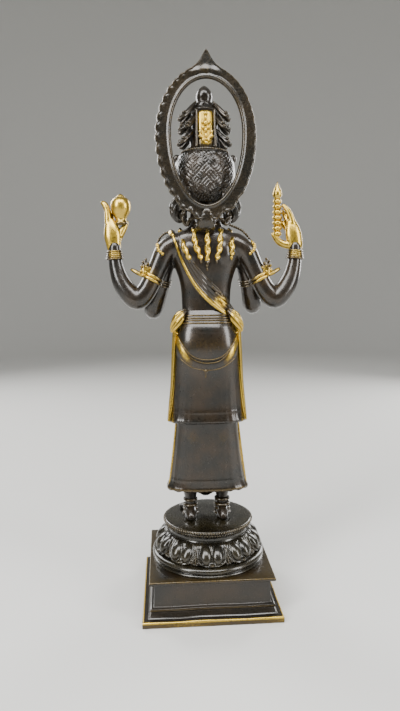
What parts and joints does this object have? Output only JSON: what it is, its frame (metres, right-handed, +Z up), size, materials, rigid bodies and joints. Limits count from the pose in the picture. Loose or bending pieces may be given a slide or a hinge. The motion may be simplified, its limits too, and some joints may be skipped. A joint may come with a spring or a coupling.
{
  "type": "brahma figure",
  "caption": "Standing many-armed god on a lotus seat and square plinth, with pot, beads, tall crown of locks and flaming halo ring; rests on its underside.",
  "frame": {"origin": "centre of the plinth's underside", "axes": "+Z up, the figure faces -Y and its own left is +X"},
  "size_m": [0.1683, 0.112, 0.443],
  "materials": {
    "plinth_patina": "dark patina rubbed to gold at the lowest edge",
    "lotus_patina": "dark patina",
    "figure_patina": "dark patina rubbed to gold on raised parts",
    "halo_patina": "dark patina"
  },
  "bodies": {
    "root": {"plinth": "plinth_patina", "lotus_pedestal": "lotus_patina", "figure": "figure_patina", "halo": "halo_patina"}
  },
  "joints": []
}
